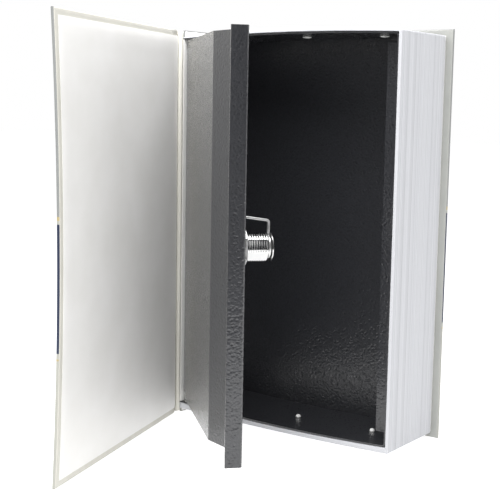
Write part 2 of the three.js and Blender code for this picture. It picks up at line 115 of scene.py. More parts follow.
def noise(tree, vector, scale, detail=3):
    node = tree.nodes.new("ShaderNodeTexNoise")
    node.inputs["Scale"].default_value = scale
    node.inputs["Detail"].default_value = detail
    node.inputs["Roughness"].default_value = NOISE_ROUGHNESS
    tree.links.new(vector, node.inputs["Vector"])
    return node.outputs["Fac"]


def line_noise(tree, value, scale, detail):
    """Noise that varies with one value only."""
    node = tree.nodes.new("ShaderNodeTexNoise")
    node.noise_dimensions = "1D"
    node.inputs["Scale"].default_value = scale
    node.inputs["Detail"].default_value = detail
    tree.links.new(value, node.inputs["W"])
    return node.outputs["Fac"]


def ramp(tree, value, stops, interpolation="LINEAR"):
    node = tree.nodes.new("ShaderNodeValToRGB")
    node.color_ramp.interpolation = interpolation
    elements = node.color_ramp.elements
    while len(elements) < len(stops):
        elements.new(0.5)
    for element, (position, colour) in zip(elements, stops):
        element.position = position
        element.color = colour if len(colour) == 4 else (*colour, 1)
    tree.links.new(value, node.inputs["Fac"])
    return node.outputs["Color"]


def grey(value):
    return (value, value, value, 1)


def bump(tree, bsdf, height, distance, strength=1.0, under=None):
    node = tree.nodes.new("ShaderNodeBump")
    node.inputs["Strength"].default_value = strength
    node.inputs["Distance"].default_value = distance
    tree.links.new(height, node.inputs["Height"])
    if under is not None:
        tree.links.new(under, node.inputs["Normal"])
    tree.links.new(node.outputs["Normal"], bsdf.inputs["Normal"])
    return node.outputs["Normal"]


def feed(tree, socket, value):
    """Links the socket to another node's output, or sets its value."""
    if isinstance(value, bpy.types.NodeSocket):
        tree.links.new(value, socket)
    else:
        socket.default_value = value


def mix_colour(tree, factor, first, second, mode="MIX"):
    node = tree.nodes.new("ShaderNodeMix")
    node.data_type = "RGBA"
    node.blend_type = mode
    for i, value in ((0, factor), (6, first), (7, second)):
        feed(tree, node.inputs[i], value)
    return node.outputs[2]


def math_node(tree, operation, first, second):
    node = tree.nodes.new("ShaderNodeMath")
    node.operation = operation
    for i, value in enumerate((first, second)):
        feed(tree, node.inputs[i], value)
    return node.outputs[0]


def separate(tree, vector):
    node = tree.nodes.new("ShaderNodeSeparateXYZ")
    tree.links.new(vector, node.inputs[0])
    return node.outputs


PIT_SCALE = 520
PIT_HEIGHT = 0.12 * MM
PIT_PATCH_SCALE = 150
PEEL_SCALE = 760
PEEL_HEIGHT = 0.24 * MM
FLECK_SCALE = 1500


def steel_paint():
    """Dark grey paint with a hammered surface: shallow round pits among a fine orange peel, with
    painted shade in the pits.
    """
    material, tree, bsdf = new_material("steel_paint")
    place = object_coords(tree)
    pits = tree.nodes.new("ShaderNodeTexVoronoi")
    pits.feature = "F1"
    pits.inputs["Scale"].default_value = PIT_SCALE
    pits.inputs["Randomness"].default_value = 1
    tree.links.new(place, pits.inputs["Vector"])
    patch = noise(tree, place, PIT_PATCH_SCALE, 2)
    pit = ramp(tree, pits.outputs["Distance"], [(0.1, grey(0)), (0.55, grey(1))], "EASE")
    shown = ramp(tree, patch, [(0.3, grey(0)), (0.5, grey(1))])
    pit_height = mix_colour(tree, shown, grey(1), pit)
    peel = noise(tree, place, PEEL_SCALE, 1)
    first = bump(tree, bsdf, peel, PEEL_HEIGHT, 0.8)
    both = bump(tree, bsdf, pit_height, PIT_HEIGHT, 0.9, first)
    tree.links.new(both, bsdf.inputs["Coat Normal"])
    fleck = noise(tree, place, FLECK_SCALE, 1)
    base = ramp(tree, fleck, [(0.35, srgb(34, 35, 39)), (0.68, srgb(46, 47, 51))])
    # The pits are painted darker than the paint around them: painted shade in the hollows
    dark = mix_colour(tree, pit_height, srgb(30, 31, 35), base)
    tree.links.new(dark, bsdf.inputs["Base Color"])
    bsdf.inputs["Roughness"].default_value = 0.4
    bsdf.inputs["Specular IOR Level"].default_value = 0.7
    bsdf.inputs["Coat Weight"].default_value = 1.0
    bsdf.inputs["Coat Roughness"].default_value = 0.14
    bsdf.inputs["Coat IOR"].default_value = 1.46
    return material


PAPER_CLOUD_SCALE = 38
PAPER_GRAIN_SCALE = 2600
RIVET_GRAIN_SCALE = 1800
GRAIN_HEIGHT = 0.02 * MM


def paper(name, light, dark, roughness, grain=PAPER_GRAIN_SCALE):
    """Coated paper, and the rivets' white satin: faint cloudy tone, very fine grain."""
    material, tree, bsdf = new_material(name)
    place = object_coords(tree)
    cloud = noise(tree, place, PAPER_CLOUD_SCALE, 4)
    colour = ramp(tree, cloud, [(0.3, dark), (0.7, light)])
    tree.links.new(colour, bsdf.inputs["Base Color"])
    bsdf.inputs["Roughness"].default_value = roughness
    bsdf.inputs["Specular IOR Level"].default_value = 0.4
    grain_height = noise(tree, place, grain, 2)
    bump(tree, bsdf, grain_height, GRAIN_HEIGHT, 0.6)
    return material


PAGE_LINE_SCALE = 1400
PAGE_SHADE_BAND_SCALE = 260
PAGE_GLOW_RADIUS = 2 * MM


def page_plastic():
    """White plastic with fine lines along the page edges: its tone varies with depth alone, and
    its broad bands along the depth are painted shade.
    """
    material, tree, bsdf = new_material("page_plastic")
    place = object_coords(tree)
    y = separate(tree, place)[1]
    line = line_noise(tree, y, PAGE_LINE_SCALE, 3)
    # Broad bands darken the tone by up to a tenth along the depth: painted shade of undulations
    # that the shell does not have
    broad = line_noise(tree, y, PAGE_SHADE_BAND_SCALE, 2)
    fine = ramp(tree, line, [(0.3, srgb(192, 193, 197)), (0.6, srgb(213, 214, 218))])
    band_shade = ramp(tree, broad, [(0.32, grey(0.9)), (0.55, grey(1))])
    colour = mix_colour(tree, 1.0, fine, band_shade, "MULTIPLY")
    tree.links.new(colour, bsdf.inputs["Base Color"])
    bsdf.inputs["Roughness"].default_value = 0.5
    bsdf.inputs["Subsurface Weight"].default_value = 0.05
    bsdf.inputs["Subsurface Radius"].default_value = (PAGE_GLOW_RADIUS,) * 3
    return material


WRAP_CLOUD_SCALE = 60
WRAP_WEAVE_SCALE = 1800


def printed_wrap():
    """Laminated paper with a plain band design, the bands set by height alone."""
    material, tree, bsdf = new_material("printed_wrap")
    place = object_coords(tree)
    z = separate(tree, place)[2]
    part = math_node(tree, "DIVIDE", z, HEIGHT)
    grey_top = srgb(138, 140, 139)
    navy = srgb(38, 48, 74)
    rule = srgb(176, 160, 118)
    pale = srgb(170, 170, 162)
    bands = ramp(tree, part, [
        (0.0, pale), (0.275, rule), (0.281, pale), (0.29, navy),
        (0.56, pale), (0.569, rule), (0.575, grey_top),
    ], "CONSTANT")
    cloud = noise(tree, place, WRAP_CLOUD_SCALE, 4)
    tone = ramp(tree, cloud, [(0.3, grey(0.93)), (0.7, grey(1))])
    colour = mix_colour(tree, 1.0, bands, tone, "MULTIPLY")
    tree.links.new(colour, bsdf.inputs["Base Color"])
    bsdf.inputs["Roughness"].default_value = 0.34
    bsdf.inputs["Coat Weight"].default_value = 0.15
    bsdf.inputs["Coat Roughness"].default_value = 0.25
    weave = noise(tree, place, WRAP_WEAVE_SCALE, 2)
    bump(tree, bsdf, weave, GRAIN_HEIGHT, 0.5)
    return material


SMUDGE_SCALE = 420
BRUSH_SCALE = 2400


def chrome(name, base, roughness, brush=0.0):
    """Bare metal with faint smudges, and fine brushing where a height is given."""
    material, tree, bsdf = new_material(name)
    place = object_coords(tree)
    smudge = noise(tree, place, SMUDGE_SCALE, 3)
    tint = ramp(tree, smudge, [(0.3, grey(base * 0.93)), (0.7, grey(base))])
    tree.links.new(tint, bsdf.inputs["Base Color"])
    rough = ramp(tree, smudge, [(0.3, grey(roughness * 0.7)), (0.7, grey(roughness * 1.3))])
    tree.links.new(rough, bsdf.inputs["Roughness"])
    bsdf.inputs["Metallic"].default_value = 1
    if brush:
        bump(tree, bsdf, noise(tree, place, BRUSH_SCALE, 2), brush, 0.5)
    return material


FIBRE_SCALE = 900
FIBRE_HEIGHT = 0.06 * MM


def card():
    """Grey card with long fibres."""
    material, tree, bsdf = new_material("cover_board")
    place = object_coords(tree, (1, 1, 4))
    fibre = noise(tree, place, FIBRE_SCALE, 4)
    colour = ramp(tree, fibre, [(0.3, srgb(150, 143, 128)), (0.7, srgb(182, 175, 158))])
    tree.links.new(colour, bsdf.inputs["Base Color"])
    bsdf.inputs["Roughness"].default_value = 0.9
    bump(tree, bsdf, fibre, FIBRE_HEIGHT, 0.6)
    return material


PAINT = steel_paint()
ENDPAPER = paper("endpaper", srgb(246, 245, 243), srgb(240, 239, 236), 0.42)
TURNIN = paper("turn_in", srgb(216, 214, 205), srgb(208, 206, 197), 0.42)
GREY_MARGIN = paper("grey_margin", srgb(172, 173, 169), srgb(162, 163, 159), 0.42)
PAGES = page_plastic()
WRAP = printed_wrap()
CHROME = chrome("lock_chrome", 0.86, 0.11)
STEEL = chrome("pin_steel", 0.6, 0.28, 0.03 * MM)
PLATED = chrome("plated_steel", 0.9, 0.36, 0.02 * MM)
RIVET = paper("rivet_white", srgb(244, 244, 242), srgb(236, 236, 234), 0.4, RIVET_GRAIN_SCALE)
CARD = card()


# Mesh helpers
def in_scene(name, data):
    """New object in the scene, riding on nothing yet."""
    made = bpy.data.objects.new(name, data)
    bpy.context.scene.collection.objects.link(made)
    return made


def add_object(name, mesh, material, body, slot_name, *replaced):
    """A piece that rides on a body, and takes the place of the nodes named last."""
    piece = in_scene(name, mesh)
    mesh.materials.append(material)
    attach(piece, body)
    if replaced:
        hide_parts(*replaced)
    return piece


def shade(piece, angle):
    """Smooth shading that stays sharp at edges steeper than the angle in degrees."""
    mesh = piece.data
    for polygon in mesh.polygons:
        polygon.use_smooth = True
    mesh.set_sharp_from_angle(angle=math.radians(angle))


NORMAL_WEIGHT = 60


def soften(piece, width, segments, angle):
    """Rounds the edges of a piece that are steeper than the angle in degrees."""
    for polygon in piece.data.polygons:
        polygon.use_smooth = True
    bevel = piece.modifiers.new("bevel", "BEVEL")
    bevel.width = width
    bevel.segments = segments
    bevel.limit_method = "ANGLE"
    bevel.angle_limit = math.radians(angle)
    bevel.harden_normals = False
    bevel.use_clamp_overlap = True
    normals = piece.modifiers.new("normals", "WEIGHTED_NORMAL")
    normals.keep_sharp = True
    normals.weight = NORMAL_WEIGHT


def from_bmesh(bm, name):
    bmesh.ops.recalc_face_normals(bm, faces=bm.faces)
    mesh = bpy.data.meshes.new(name)
    bm.to_mesh(mesh)
    bm.free()
    return mesh


WELD = 2e-6
FLAT_WITHIN = math.radians(0.6)


def copy_of(node):
    """The node's solid with its triangles joined into flat faces."""
    bm = bmesh.new()
    bm.from_mesh(nodes[node].data)
    bmesh.ops.remove_doubles(bm, verts=bm.verts, dist=WELD)
    bmesh.ops.dissolve_limit(bm, angle_limit=FLAT_WITHIN, verts=bm.verts, edges=bm.edges)
    return bm


def dress(node, name, material, slot_name, body, width, segments=2, angle=30):
    """A piece with the node's own solid, its edges rounded."""
    mesh = from_bmesh(copy_of(node), name)
    piece = add_object(name, mesh, material, body, slot_name, node)
    soften(piece, width, segments, angle)


def grid_faces(bm, rows, close_rows=False, close_columns=False):
    """Faces between rows of vertices, all rows the same length."""
    count = len(rows)
    width = len(rows[0])
    for i in range(count if close_rows else count - 1):
        for j in range(width if close_columns else width - 1):
            bm.faces.new((rows[i][j], rows[i][(j + 1) % width],
                          rows[(i + 1) % count][(j + 1) % width], rows[(i + 1) % count][j]))


def closing_faces(bm, first, second):
    """Faces round the rims of two grids of the same size."""
    for edge in (lambda g: g[0], lambda g: g[-1],
                 lambda g: [row[0] for row in g], lambda g: [row[-1] for row in g]):
        grid_faces(bm, [edge(first), edge(second)])


def capped(name, rings):
    """Closed solid through rings of points, all rings the same length."""
    bm = bmesh.new()
    rows = [[bm.verts.new(point) for point in ring] for ring in rings]
    grid_faces(bm, rows, close_columns=True)
    bm.faces.new(rows[0])
    bm.faces.new(rows[-1])
    return from_bmesh(bm, name)


def full_turn(steps):
    """Evenly spaced angles round a circle."""
    return [2 * math.pi * k / steps for k in range(steps)]


def lathe(name, profile, steps, matrix, close=False):
    """Turns a profile of (radius, depth) about the frame's Y axis; close joins its two ends."""
    bm = bmesh.new()
    rows = []
    for radius, depth in profile:
        # On the axis a ring shrinks to one point
        angles = full_turn(steps) if radius else [0]
        ring = [Vector((radius * math.sin(a), depth, radius * math.cos(a))) for a in angles]
        rows.append([bm.verts.new(matrix @ point) for point in ring])
    for first, second in zip(rows, rows[1:] + rows[:1] if close else rows[1:]):
        for k in range(steps):
            n = (k + 1) % steps
            if len(first) == 1:
                bm.faces.new((first[0], second[n], second[k]))
            elif len(second) == 1:
                bm.faces.new((first[k], first[n], second[0]))
            else:
                bm.faces.new((first[k], first[n], second[n], second[k]))
    return from_bmesh(bm, name)


# Page block. Outlines run along the tail, up the fore edge and back along the head, in X and Z.
PAGE_WALL = 2.1 * MM
CROWN_AT = 80 * MM
BOW_STEPS = 30
CORNER_STEPS = 6
OUTER_ROUND = 1.2 * MM
INNER_ROUND = 0.6 * MM
PAGE_EDGE = 0.45 * MM
FIRST_GROOVE = 2.2 * MM
PAGE_WIDTHS = (0.42, 0.8)
GROOVE_DEPTHS = (0.05, 0.08, 0.08, 0.11, 0.16, 0.22)
# Shares of a page's width and of the groove's depth
GROOVE_SHAPE = ((0.34, 0.3), (0.5, 1), (0.66, 0.3), (1, 0))

# In mm, for each end: overhang of the covers and thickness of the wall at the crown, then the
# rise of its outer and its inner face from the fore edge corner to the crown
WALLS = {"tail": (1.5, 2.6, 1.1, 1.9), "head": (1.0, 2.1, 2.5, 1.5)}


def wall_line(end, x, inner):
    """Distance from the covers' end to the outer or inner face of the head or tail wall."""
    square, wall, bow, inner_bow = WALLS[end]
    off = ((x - CROWN_AT) / (PAGE_RIGHT - PAGE_LEFT - CROWN_AT)) ** 2
    return (square + (wall + inner_bow * off if inner else bow * off)) * MM


def page_outline(inset, inner, radius):
    """Outline at an inset from the fore edge, in X and Z."""
    turn = PAGE_RIGHT - PAGE_LEFT - inset - radius

    def side(end):
        along = [turn * i / BOW_STEPS for i in range(BOW_STEPS)]
        points = [(x, wall_line(end, x, inner)) for x in along]
        rise = wall_line(end, turn, inner) + radius
        for k in range(CORNER_STEPS + 1):
            a = math.radians(-90 + 90 * k / CORNER_STEPS)
            points.append((turn + radius * math.cos(a), rise + radius * math.sin(a)))
        return points

    lower = [Vector((PAGE_LEFT + x, z)) for x, z in side("tail")]
    upper = [Vector((PAGE_LEFT + x, HEIGHT - z)) for x, z in reversed(side("head"))]
    return lower + upper


def page_profile():
    """Closed loop of (depth from the front, inset from the outer face) round one wall."""
    depth = PAGE_BACK - PAGE_FRONT
    edge = PAGE_EDGE
    y = depth - edge
    loop = [(depth, edge), (y, 0)]
    while y > FIRST_GROOVE:
        width = random.uniform(*PAGE_WIDTHS) * MM
        cut = random.choice(GROOVE_DEPTHS) * MM
        loop += [(y - width * across, cut * deep) for across, deep in GROOVE_SHAPE]
        y -= width
    loop += [(edge, 0), (edge * 0.3, edge * 0.3), (0, edge), (0, PAGE_WALL - edge * 0.6),
             (edge * 0.6, PAGE_WALL), (depth - edge, PAGE_WALL), (depth, PAGE_WALL - edge)]
    return loop


def page_block():
    """White shell of head, fore edge and tail, with the lines between pages cut into it."""
    outer = page_outline(0, False, OUTER_ROUND)
    inner = page_outline(PAGE_WALL, True, INNER_ROUND)
    loop = page_profile()
    rings = []
    for p, q in zip(outer, inner):
        across = [(p.lerp(q, inset / PAGE_WALL), y) for y, inset in loop]
        rings.append([(at.x, PAGE_FRONT + y, at.y) for at, y in across])
    mesh = capped("page_block", rings)
    piece = add_object("page_block", mesh, PAGES, "safe", "page_plastic", "page_surround")
    shade(piece, angle=38)


# Covers. In a cover's own frame X runs from its hinge line, Y is 0 on the inner face and
# negative outwards, and Z is the height.
def local_box(node, matrix):
    back = matrix.inverted()
    points = [back @ v.co for v in nodes[node].data.vertices]
    return (Vector([min(p[i] for p in points) for i in range(3)]),
            Vector([max(p[i] for p in points) for i in range(3)]))


def no_bow(u, z):
    """Flat, like the back cover."""
    return 0.0


COVER_REACH = 156.7 * MM
LEAN_OUT = 2.46
CURL_IN = 2.95
CURL_TO_HEAD = 0.3
CURL_LOST_AT_ENDS = 3.1


def cover_bow(u, z):
    """The front cover leans out from its hinge line and curls back in, most at mid height."""
    reach = max(0.0, u / COVER_REACH)
    up = 2 * z / HEIGHT - 1
    curl = CURL_IN + CURL_TO_HEAD * up - CURL_LOST_AT_ENDS * up ** 2
    return (curl * reach ** 2 - LEAN_OUT * reach) * MM


WRAP_COLUMNS = 14
WRAP_ROWS = 26
FOLD_STEPS = 4
FOLD_ROUND = 0.85 * MM
FOLD_FLAT = 1.5 * MM
TURN_IN_WIDTH = 14 * MM
PAPER = 0.25 * MM


def folded_wrap(name, node, matrix, bow):
    """Printed sheet round the board: outer face, rounded folds, and turned-in margin."""
    lo, hi = local_box(node, matrix)
    radius = FOLD_ROUND
    quarter = [math.radians(90 * k / FOLD_STEPS) for k in range(FOLD_STEPS + 1)]
    profile = [(radius, lo.y)]
    for a in quarter[1:]:
        profile.append((radius - radius * math.sin(a), lo.y + radius - radius * math.cos(a)))
    for a in quarter:
        profile.append((radius - radius * math.cos(a), hi.y - radius + radius * math.sin(a)))
    profile += [(radius + FOLD_FLAT, hi.y), (TURN_IN_WIDTH / 2, hi.y), (TURN_IN_WIDTH, hi.y)]
    bm = bmesh.new()

    def point(u, v, z):
        return bm.verts.new(matrix @ Vector((u, v + bow(u, z), z)))

    def rim(d):
        right, top = hi.x - d, HEIGHT - d
        steps = [(lo.x + (right - lo.x) * k / WRAP_COLUMNS, d) for k in range(WRAP_COLUMNS)]
        steps += [(right, d + (top - d) * k / WRAP_ROWS) for k in range(WRAP_ROWS)]
        steps += [(right - (right - lo.x) * k / WRAP_COLUMNS, top)
                  for k in range(WRAP_COLUMNS + 1)]
        return steps

    grid = []
    d = profile[0][0]
    for i in range(WRAP_ROWS + 1):
        z = d + (HEIGHT - 2 * d) * i / WRAP_ROWS
        grid.append([point(lo.x + (hi.x - d - lo.x) * k / WRAP_COLUMNS, lo.y, z)
                     for k in range(WRAP_COLUMNS + 1)])
    grid_faces(bm, grid)
    loop = grid[0][:-1] + [row[-1] for row in grid[:-1]] + grid[-1][::-1]
    for d, v in profile[1:]:
        following = [point(u, v, z) for u, z in rim(d)]
        grid_faces(bm, [loop, following])
        loop = following
    return from_bmesh(bm, name)


MARGIN_DEPTH = 0.3 * MM


def wrap_piece(name, node, matrix, body, bow, margin):
    """Folded sheet of a cover, printed outside and plain on the margin that is turned in."""
    mesh = folded_wrap(name, node, matrix, bow)
    piece = add_object(name, mesh, WRAP, body, "printed_wrap", node)
    mesh.materials.append(margin)
    back = matrix.inverted()
    inner = local_box(node, matrix)[1].y - MARGIN_DEPTH
    for polygon in mesh.polygons:
        centre = back @ polygon.center
        if centre.y - bow(centre.x, centre.z) > inner:
            polygon.material_index = 1
    # The thickness goes into the cover, whichever way the normals point
    outward = (back.to_3x3() @ mesh.polygons[0].normal).y < 0
    solid = piece.modifiers.new("thickness", "SOLIDIFY")
    solid.thickness = PAPER
    solid.offset = -1 if outward else 1
    solid.use_even_offset = True
    shade(piece, angle=40)


def slab(name, lo, hi, matrix, bow, columns, rows, relief=no_bow):
    """Closed sheet between two local corners; bow and relief shift both of its faces."""
    bm = bmesh.new()
    faces = []
    for side in (0, 1):
        grid = []
        for i in range(rows + 1):
            z = lo.z + (hi.z - lo.z) * i / rows
            row = []
            for k in range(columns + 1):
                u = lo.x + (hi.x - lo.x) * k / columns
                v = (lo.y if side == 0 else hi.y) + relief(u, z) + bow(u, z)
                row.append(bm.verts.new(matrix @ Vector((u, v, z))))
            grid.append(row)
        grid_faces(bm, grid)
        faces.append(grid)
    closing_faces(bm, *faces)
    return from_bmesh(bm, name)


SHEET = 0.16 * MM
EDGE_SETTLES = 0.3 * MM
EDGE_SETTLES_OVER = 3 * MM
HINGE_SIDE_STANDS = 6 * MM
MARGIN_UNDER = 10.4 * MM
MARGIN_STEP = 0.07 * MM
MARGIN_STEP_OVER = 2 * MM
CALM_OVER = 12 * MM
RIPPLES = ((95, 22), (-40, 61))
SHEET_GRID = (60, 90)
BOARD_GRID = (12, 20)


def endpaper_piece(name, node, matrix, body, bow, ripple, trim=0.0):
    """Pasted sheet: settled edges, a faint step at the margin under it, and slow ripples."""
    lo, hi = local_box(node, matrix)
    hi.x -= trim
    lo.y = hi.y - SHEET

    def relief(u, z):
        edge = min(u - lo.x + HINGE_SIDE_STANDS, hi.x - u, z - lo.z, hi.z - z)
        down = EDGE_SETTLES * max(0.0, 1 - edge / EDGE_SETTLES_OVER) ** 1.5
        inside = min(hi.x - u, z - lo.z, hi.z - z) - MARGIN_UNDER
        step = MARGIN_STEP * min(1.0, max(0.0, inside / MARGIN_STEP_OVER))
        wave = ripple * sum(math.sin(u * along + z * up) for along, up in RIPPLES) * 0.5
        calm = min(1.0, max(0.0, edge / CALM_OVER))
        return -down - step + wave * calm - ripple * calm

    mesh = slab(name, lo, hi, matrix, bow, *SHEET_GRID, relief)
    piece = add_object(name, mesh, ENDPAPER, body, "endpaper", node)
    shade(piece, angle=50)


def board_piece(name, node, matrix, body, bow):
    """Stiff board inside a cover."""
    lo, hi = local_box(node, matrix)
    mesh = slab(name, lo, hi, matrix, bow, *BOARD_GRID)
    piece = add_object(name, mesh, CARD, body, "cover_board", node)
    shade(piece, angle=40)


JOINT_COLUMNS = 24
JOINT_SHORT = 0.3 * MM
JOINT_BULGE = 0.55 * MM
JOINT_LAP = Vector((0.4, 0.05, 0)) * MM
BACK_JOINT_BULGE = 1.0 * MM


def joint_sheet(name, start, end, bulge):
    """Upright strip of bent paper between two places in plan, bulging to one side of the chord."""
    bm = bmesh.new()
    levels = (JOINT_SHORT, HEIGHT / 2, HEIGHT - JOINT_SHORT)
    along = (end - start).normalized()
    aside = Vector((-along.y, along.x))
    sides = []
    for depth in (0, PAPER):
        path = []
        for k in range(JOINT_COLUMNS + 1):
            t = k / JOINT_COLUMNS
            out = bulge * math.sin(math.pi * t) - math.copysign(depth, bulge)
            path.append(start.lerp(end, t) + aside * out)
        grid = [[bm.verts.new((p.x, p.y, z)) for p in path] for z in levels]
        grid_faces(bm, grid)
        sides.append(grid)
    closing_faces(bm, *sides)
    mesh = from_bmesh(bm, name)
    mesh.materials.append(WRAP)
    mesh.materials.append(ENDPAPER)
    # The printed side comes first, then the plain inner side and the edges
    printed = (len(levels) - 1) * JOINT_COLUMNS
    for polygon in mesh.polygons[printed:]:
        polygon.material_index = 1
    piece = in_scene(name, mesh)
    shade(piece, angle=50)
    return piece


def cover_joint():
    """Outer paper bent from the spine to the front cover."""
    lo, hi = local_box("front_wrap", COVER)
    spine = low("spine_wrap")
    start = Vector((spine.x + JOINT_LAP.y, spine.y + JOINT_LAP.x))
    end = (COVER @ (Vector((lo.x, lo.y, 0)) + JOINT_LAP)).to_2d()
    piece = joint_sheet("joint_front", start, end, -JOINT_BULGE)
    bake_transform(piece)


def upright_prism(name, levels):
    """Closed solid between outlines in plan, each given with its height."""
    return capped(name, [[(x, y, z) for x, y in outline] for outline, z in levels])


ROLL_HALF_WIDTH = 1.85 * MM
ROLL_HALF_DEPTH = 1.35 * MM
ROLL_STEPS = 32
ROLL_END = 0.25 * MM
ROLL_END_SCALE = 0.85


def joint_roll():
    """Rolled paper beside the hinge line of the front cover, wider than deep."""
    lo, hi = low("cover_fold"), high("cover_fold")
    x, y = lo.x + ROLL_HALF_WIDTH, (lo.y + hi.y) / 2

    def outline(scale):
        return [(x + scale * ROLL_HALF_WIDTH * math.cos(a),
                 y + scale * ROLL_HALF_DEPTH * math.sin(a)) for a in full_turn(ROLL_STEPS)]

    levels = [(outline(scale), z) for scale, z in (
        (ROLL_END_SCALE, lo.z), (1, lo.z + ROLL_END),
        (1, hi.z - ROLL_END), (ROLL_END_SCALE, hi.z))]
    mesh = upright_prism("joint_roll", levels)
    piece = add_object("joint_roll", mesh, TURNIN, "safe", "printed_wrap", "cover_fold")
    shade(piece, angle=40)


# In mm from the page block's front corner at the spine
STRIP_OUTLINE = ((-0.9, 0.15), (1.15, 0.15), (1.15, 4.5), (0.9, 4.5), (0.9, 0.4), (-0.9, 0.4))
STRIP_ABOVE_TAIL = 6 * MM
STRIP_BELOW_HEAD = 4.5 * MM


def hinge_strip():
    """Pale paper folded round the spine wall of the box, in the groove beside the roll."""
    page = low("page_surround")
    outline = [(page.x + x * MM, page.y + y * MM) for x, y in STRIP_OUTLINE]
    top = high("page_surround").z - STRIP_BELOW_HEAD
    mesh = upright_prism("hinge_strip", [(outline, page.z + STRIP_ABOVE_TAIL), (outline, top)])
    piece = add_object("hinge_strip", mesh, ENDPAPER, "safe", "endpaper")
    shade(piece, angle=40)


def back_joint():
    """Fixed paper from the spine round to the back cover."""
    spine, back = low("spine_wrap"), high("spine_wrap")
    cover = low("back_wrap")
    start = Vector((spine.x + JOINT_LAP.y, back.y - JOINT_LAP.x))
    end = Vector((cover.x + JOINT_LAP.x, high("back_wrap").y - JOINT_LAP.y))
    piece = joint_sheet("joint_back", start, end, BACK_JOINT_BULGE)
    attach(piece, "safe")


FRONT_RIPPLE = 0.12 * MM
BACK_RIPPLE = 0.08 * MM
BACK_TRIM = 1.0 * MM


def covers():
    """Both covers, the spine and the paper that joins them."""
    wrap_piece("front_case", "front_wrap", COVER, "front_cover", cover_bow, TURNIN)
    endpaper_piece("front_paste_down", "front_endpaper", COVER, "front_cover", cover_bow,
                   FRONT_RIPPLE)
    board_piece("front_stiff_board", "front_board", COVER, "front_cover", cover_bow)
    inner_y = low("back_endpaper").y
    # The back cover's own frame is mirrored, so that its Y is negative outwards too
    back = Matrix(((1, 0, 0, COVER_AXIS.x), (0, -1, 0, inner_y), (0, 0, 1, 0), (0, 0, 0, 1)))
    wrap_piece("back_case", "back_wrap", back, "safe", no_bow, GREY_MARGIN)
    endpaper_piece("back_paste_down", "back_endpaper", back, "safe", no_bow,
                   BACK_RIPPLE, BACK_TRIM)
    board_piece("back_stiff_board", "back_board", back, "safe", no_bow)
    dress("spine_wrap", "spine_case", WRAP, "printed_wrap", "safe", 0.5 * MM, segments=3)
    board = nodes["spine_board"]
    board.data.materials.clear()
    board.data.materials.append(ENDPAPER)
    joint_roll()
    cover_joint()
    hinge_strip()
    back_joint()


# Steel box, door and hinge
def steel_parts():
    """The solids of the box, lip, door, pins, bushes and rivets, with rounded edges."""
    dress("steel_box", "box_shell", PAINT, "steel_paint", "safe", 0.3 * MM, segments=3)
    dress("strike_lip", "strike_angle", PAINT, "steel_paint", "safe", 0.25 * MM)
    dress("door_panel", "door_leaf", PAINT, "steel_paint", "door", 0.3 * MM, segments=3)
    for end in ("tail", "head"):
        dress(f"hinge_pin_{end}", f"pin_{end}", STEEL, "pin_steel", "safe", 0.15 * MM)
        dress(f"hinge_bush_{end}", f"bush_{end}", STEEL, "pin_steel", "safe", 0.1 * MM)
        for i in (1, 2, 3):
            dress(f"page_rivet_{end}_{i}", f"rivet_{end}_{i}", RIVET, "rivet_white", "safe",
                  0.08 * MM, angle=50)


# Cam lock, about its own axis: depth runs into the safe, from the door's outer face
THREAD_PITCH = 1.25 * MM
THREAD_CUT = 0.5 * MM
THREAD_STEPS = 8
THREAD_START = 0.02 * MM
THREAD_END = 0.5 * MM
# Shares of half a pitch
THREAD_CREST = 0.12
THREAD_FLANK = 0.76
BARREL_RADIUS = 7.7 * MM
BARREL_BORE = 4.8 * MM
BARREL_HEAD = 2.2 * MM
HEAD_BEVEL = 0.7 * MM
BARREL_STEPS = 96
FLAT_HALF = 6.15 * MM
FLAT_TILT = math.radians(48)


def threaded_barrel():
    """Barrel with thread and two flats, its head outside the door, and a bore for the plug."""
    lo, hi = local_box("lock_housing", LOCK_FRAME)
    radius, bevel = BARREL_RADIUS, HEAD_BEVEL
    head_radius = (hi.x - lo.x) / 2
    head_back = lo.y + BARREL_HEAD
    stations = [(lo.y, head_radius - bevel, False),
                (lo.y + bevel * 0.3, head_radius - bevel * 0.3, False),
                (lo.y + bevel, head_radius, False), (head_back, head_radius, False)]
    step = THREAD_PITCH / THREAD_STEPS
    y = head_back + THREAD_START
    count = int((hi.y - THREAD_END - y) / step)
    for k in range(count + 1):
        stations.append((y + k * step, radius, True))
    stations += [(hi.y - bevel / 2, radius - bevel / 2, False), (hi.y, radius - bevel, False)]
    turns = full_turn(BARREL_STEPS)
    bm = bmesh.new()
    rows = []
    for y, r, threaded in stations:
        row = []
        for phi in turns:
            here = r
            if threaded:
                phase = (y / THREAD_PITCH - phi / (2 * math.pi)) % 1.0
                tooth = abs(2 * phase - 1)
                down = min(1.0, max(0.0, (tooth - THREAD_CREST) / THREAD_FLANK))
                here = r - THREAD_CUT * down
            if y > head_back:
                across = abs(math.cos(phi + FLAT_TILT))
                if here * across > FLAT_HALF:
                    here = FLAT_HALF / across
            at = Vector((here * math.cos(phi), y, here * math.sin(phi)))
            row.append(bm.verts.new(LOCK_FRAME @ at))
        rows.append(row)
    for y in (hi.y, lo.y):
        ring = [Vector((BARREL_BORE * math.cos(a), y, BARREL_BORE * math.sin(a))) for a in turns]
        rows.append([bm.verts.new(LOCK_FRAME @ point) for point in ring])
    grid_faces(bm, rows, close_rows=True, close_columns=True)
    mesh = from_bmesh(bm, "lock_barrel")
    piece = add_object("lock_barrel", mesh, CHROME, "door", "lock_chrome", "lock_housing")
    shade(piece, angle=34)


CAP_STEPS = 64
SCREW_STEPS = 48
SCREW_SLOT = (0.55, 0.3, 4.2)


